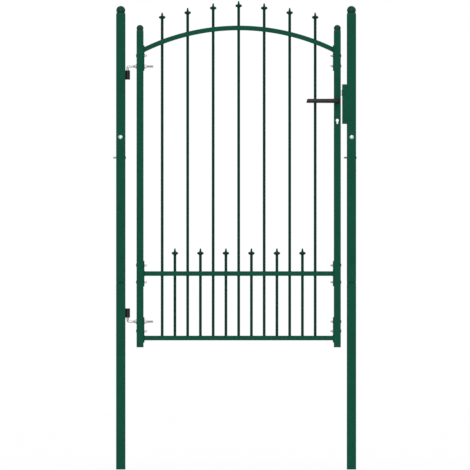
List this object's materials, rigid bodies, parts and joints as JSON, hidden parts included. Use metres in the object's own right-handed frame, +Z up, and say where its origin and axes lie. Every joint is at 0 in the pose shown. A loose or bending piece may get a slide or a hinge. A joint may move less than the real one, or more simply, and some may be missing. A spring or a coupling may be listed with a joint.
{
  "type": "garden gate",
  "caption": "Green steel garden gate with an arched top, spear-headed pickets, ball-capped posts, hook hinges and a lever latch",
  "frame": {"origin": "middle of the flat underside of the hinge post's foot plug", "axes": "+Z is up along the posts; +X runs from the hinge post to the latch post; -Y faces the viewer of the picture"},
  "size_m": [1.0505, 0.136, 2.0215],
  "materials": {
    "green_coat": "satin powder coat",
    "black_coat": "satin black paint",
    "black_nylon": "satin moulded nylon",
    "green_plastic": "satin moulded plastic",
    "zinc": "bright zinc plate",
    "plug_plastic": "moulded"
  },
  "bodies": {
    "posts": {"hinge_post_lower": "green_coat", "hinge_post_upper": "green_coat", "hinge_post_cap": "green_plastic", "latch_post_lower": "green_coat", "latch_post_upper": "green_coat", "latch_post_cap": "green_plastic", "post_sleeves": "black_coat", "post_feet": "plug_plastic", "fence_bolts": "zinc", "upper_hinge_barrel": "black_coat", "lower_hinge_barrel": "black_coat", "latch_keep": "green_coat"},
    "leaf": {"hinge_stile": "green_coat", "latch_stile": "green_coat", "hinge_stile_cap": "green_plastic", "latch_stile_cap": "green_plastic", "stile_feet": "plug_plastic", "top_arch": "green_coat", "middle_rail": "green_coat", "bottom_rail": "green_coat", "hinge_end_plates": "green_coat", "latch_end_plates": "green_coat", "upper_hinge_hook": "zinc", "lower_hinge_hook": "zinc", "lock_case": "zinc", "front_rose": "black_nylon", "back_rose": "black_nylon", "tall_picket_1": "green_coat", "tall_picket_2": "green_coat", "tall_picket_3": "green_coat", "tall_picket_4": "green_coat", "tall_picket_5": "green_coat", "tall_picket_6": "green_coat", "tall_picket_7": "green_coat", "short_picket_1": "green_coat", "short_picket_2": "green_coat", "short_picket_3": "green_coat", "short_picket_4": "green_coat", "short_picket_5": "green_coat", "short_picket_6": "green_coat"},
    "handle": {"front_lever": "black_nylon", "back_lever": "black_nylon", "spindle": "zinc"},
    "latch": {"latch_tongue": "zinc"},
    "bolt": {"dead_bolt": "zinc"}
  },
  "joints": [
    {"name": "leaf_swing", "type": "hinge", "parent": "posts", "child": "leaf", "pos_m": [0.03, 0, 1.19], "axis": [0, 0, 1], "range_deg": [-90, 90]},
    {"name": "handle_turn", "type": "hinge", "parent": "leaf", "child": "handle", "pos_m": [0.934, 0, 1.59], "axis": [0, -1, 0], "range_deg": [0, 40], "stiffness_Nm_per_rad": 1.2, "springref_deg": -28.65},
    {"name": "latch_slide", "type": "slide", "parent": "leaf", "child": "latch", "axis": [-1, 0, 0], "range_m": [0, 0.0145]},
    {"name": "bolt_slide", "type": "slide", "parent": "leaf", "child": "bolt", "axis": [1, 0, 0], "range_m": [0, 0.014]}
  ],
  "couplings": [
    {"joint": "latch_slide", "follows": "handle_turn", "m_per_rad": 0.0207}
  ]
}
